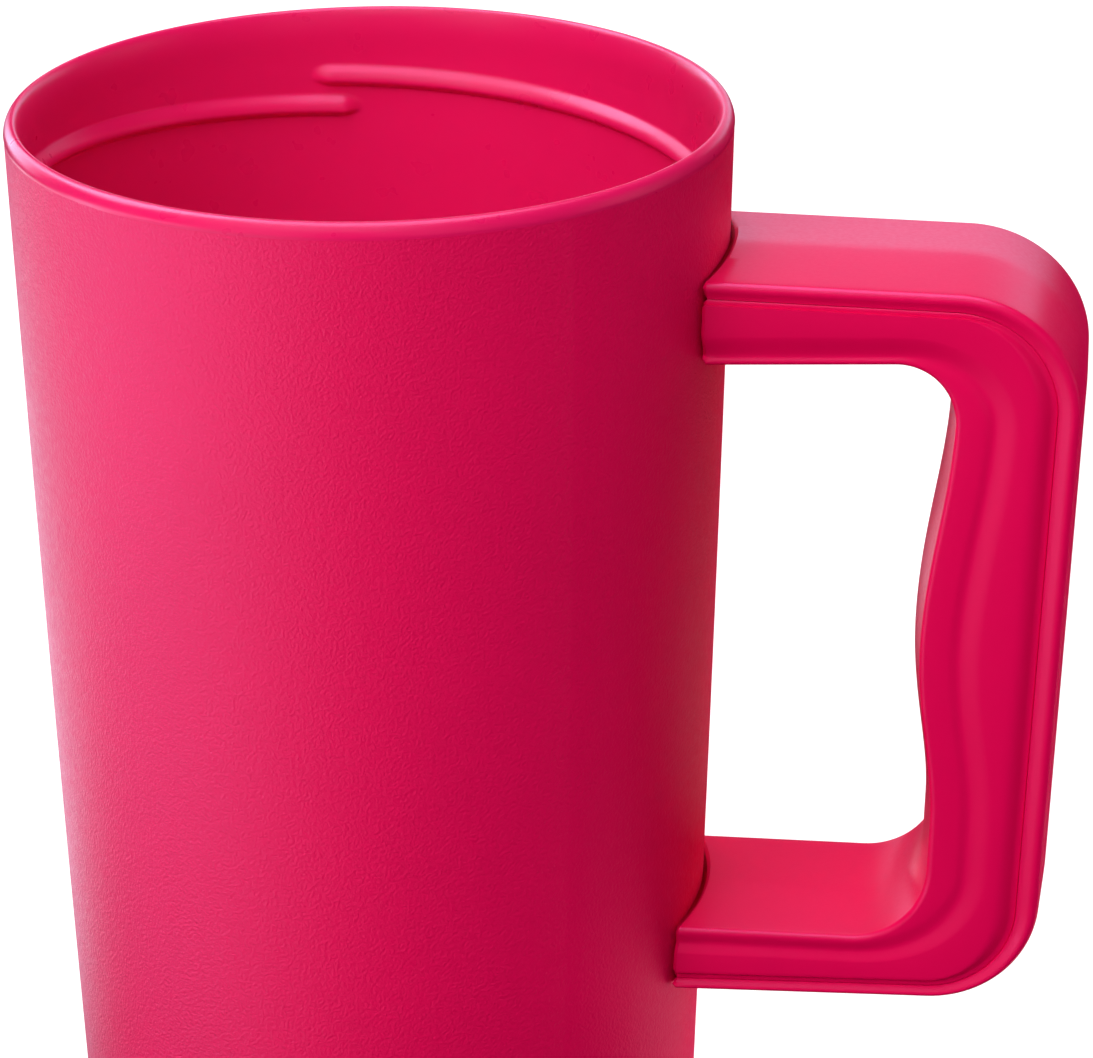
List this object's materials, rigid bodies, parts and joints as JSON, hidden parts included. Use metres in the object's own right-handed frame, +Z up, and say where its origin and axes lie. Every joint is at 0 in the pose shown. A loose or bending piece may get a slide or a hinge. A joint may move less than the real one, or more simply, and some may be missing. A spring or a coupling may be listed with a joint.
{
  "type": "insulated tumbler",
  "caption": "Tall tapered insulated steel tumbler with an open threaded mouth, a silicone foot and a screwed-on side handle made of a grip and a clip-on cover.",
  "frame": {"origin": "centre of the foot's underside, on the tumbler's axis", "axes": "+Z up the tumbler's axis to the mouth, +X towards the handle"},
  "size_m": [0.1488, 0.1, 0.235],
  "materials": {
    "powder_coat": "satin powder coat with a fine pebble",
    "liner_coat": "smooth gloss coat",
    "handle_plastic": "satin moulded plastic",
    "silicone": "matt silicone",
    "steel": "bare stainless sheet",
    "screw_steel": "plated steel",
    "copper": "bright copper foil",
    "brass": "turned brass",
    "braze": "dull braze",
    "getter_pellet": "pressed metal powder",
    "adhesive": "pale adhesive film"
  },
  "bodies": {
    "root": {"outer_shell": "powder_coat", "inner_liner": "liner_coat", "liner_floor": "liner_coat", "copper_foil": "copper", "vacuum_base": "steel", "seal_bead": "braze", "getter": "getter_pellet", "getter_holder": "steel", "base_cap": "powder_coat", "pad_adhesive": "adhesive", "base_pad": "silicone", "upper_bracket": "steel", "lower_bracket": "steel", "upper_insert": "brass", "lower_insert": "brass", "upper_washer": "steel", "lower_washer": "steel", "upper_screw": "screw_steel", "lower_screw": "screw_steel", "handle_grip": "handle_plastic", "handle_cover": "handle_plastic"}
  },
  "joints": []
}
